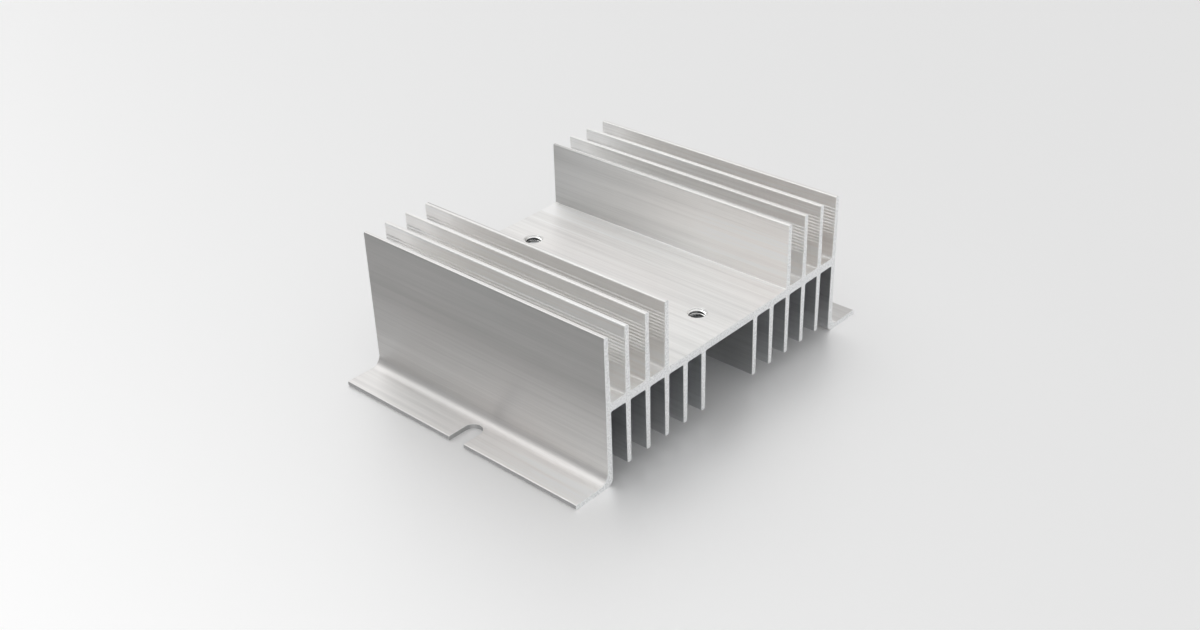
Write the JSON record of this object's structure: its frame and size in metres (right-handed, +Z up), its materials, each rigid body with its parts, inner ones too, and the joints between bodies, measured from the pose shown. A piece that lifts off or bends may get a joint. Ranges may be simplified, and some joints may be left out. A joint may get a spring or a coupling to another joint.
{
  "type": "diode module heat sink",
  "caption": "Extruded aluminium heat sink with upright fins above and below a cross-web, a central seat with tapped holes for a diode module, and slotted feet.",
  "frame": {"origin": "middle of the footprint, on the plane that the feet stand on", "axes": "+X across the section towards the right foot, +Y along the extrusion, +Z up"},
  "size_m": [0.14, 0.1, 0.05],
  "materials": {
    "aluminium": "satin mill finish with fine extrusion lines, sawn ends"
  },
  "bodies": {
    "root": {"heat_sink": "aluminium"}
  },
  "joints": []
}
